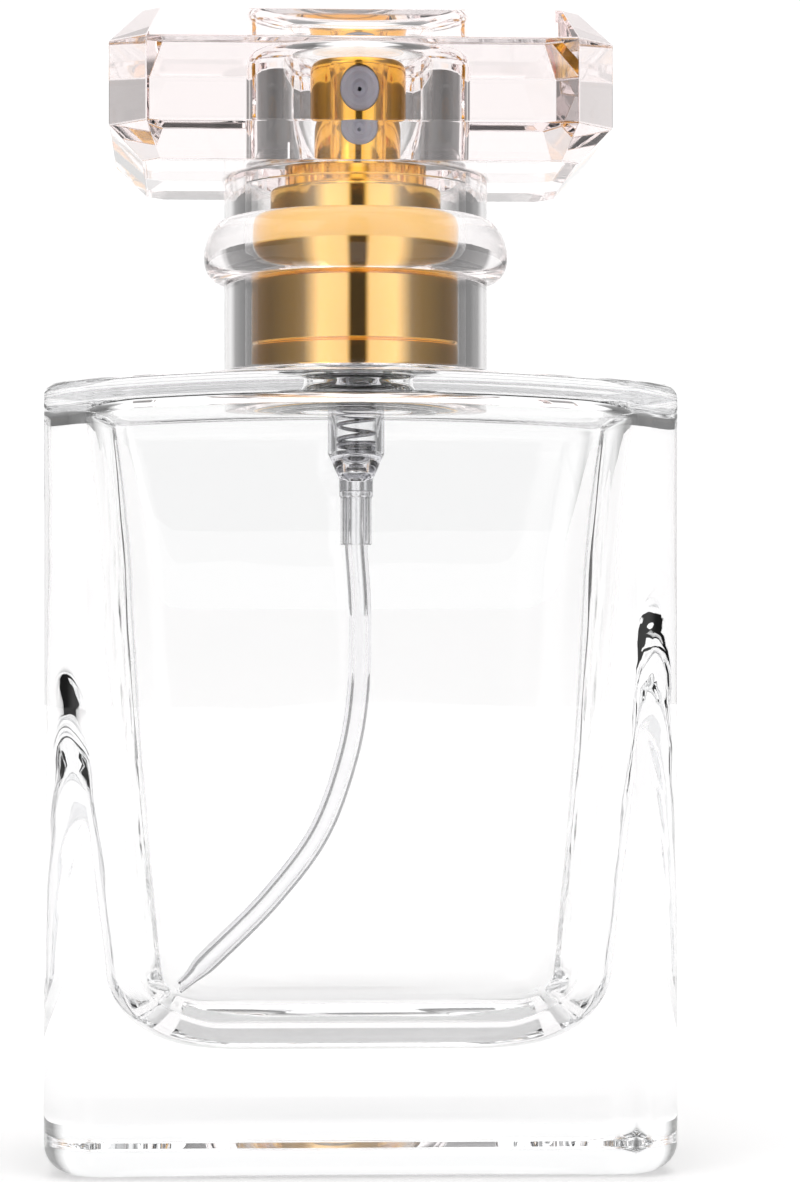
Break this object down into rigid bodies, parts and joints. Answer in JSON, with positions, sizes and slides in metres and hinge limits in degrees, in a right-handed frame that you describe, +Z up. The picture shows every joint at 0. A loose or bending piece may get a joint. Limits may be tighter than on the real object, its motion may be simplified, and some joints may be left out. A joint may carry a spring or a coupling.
{
  "type": "aftershave spray bottle",
  "caption": "Clear rectangular glass aftershave flacon with gold collar, gold spray button, visible pump and dip tube, and a clear faceted overcap.",
  "frame": {"origin": "middle of the bottle's base", "axes": "+Z up along the pump, +X to the right across the width, nozzle faces -Y"},
  "size_m": [0.054, 0.032, 0.0992],
  "materials": {
    "flint_glass": "polished clear glass",
    "clear_acrylic": "polished clear acrylic with a faint warm tint",
    "clear_plastic": "clear moulded plastic",
    "gold_collar": "bright gold anodised",
    "gold_button": "bright deep gold anodised",
    "plain_aluminium": "satin",
    "spring_steel": "bright stainless",
    "white_plastic": "moulded satin",
    "pale_plastic": "moulded grey-lilac",
    "seal_rubber": "matt"
  },
  "bodies": {
    "flacon": {"glass_bottle": "flint_glass", "neck_gasket": "seal_rubber", "ferrule": "plain_aluminium", "turret": "white_plastic", "stem_seal": "seal_rubber", "pump_housing": "clear_plastic", "spring_seat": "spring_steel", "main_spring": "spring_steel", "dip_tube": "clear_plastic", "collar_shell": "gold_collar", "collar_liner": "white_plastic"},
    "plunger": {"stem": "white_plastic", "valve_pin": "white_plastic", "precompression_spring": "spring_steel"},
    "sliding_piston": {"piston": "white_plastic"},
    "button": {"actuator_body": "white_plastic", "actuator_shell": "gold_button", "nozzle_insert": "pale_plastic"},
    "valve_ball": {"inlet_ball": "spring_steel"},
    "cap": {"cap_shell": "clear_acrylic", "cap_liner": "clear_acrylic"}
  },
  "joints": [
    {"name": "cap_lift", "type": "slide", "parent": "flacon", "child": "cap", "axis": [0, 0, 1], "range_m": [0, 0.032]},
    {"name": "button_press", "type": "slide", "parent": "flacon", "child": "plunger", "axis": [0, 0, -1], "range_m": [0, 0.0036], "stiffness_N_per_m": 900, "springref_m": -0.005, "deforming": ["main_spring"]},
    {"name": "button_turn", "type": "hinge", "parent": "plunger", "child": "button", "pos_m": [0, 0, 0.09], "axis": [0, 0, 1], "continuous": true},
    {"name": "piston_slip", "type": "slide", "parent": "plunger", "child": "sliding_piston", "axis": [0, 0, 1], "range_m": [0, 0.0005], "stiffness_N_per_m": 1500, "springref_m": -0.0008, "deforming": ["precompression_spring"]},
    {"name": "inlet_ball_lift", "type": "slide", "parent": "flacon", "child": "valve_ball", "axis": [0, 0, 1], "range_m": [0, 0.0004]}
  ]
}
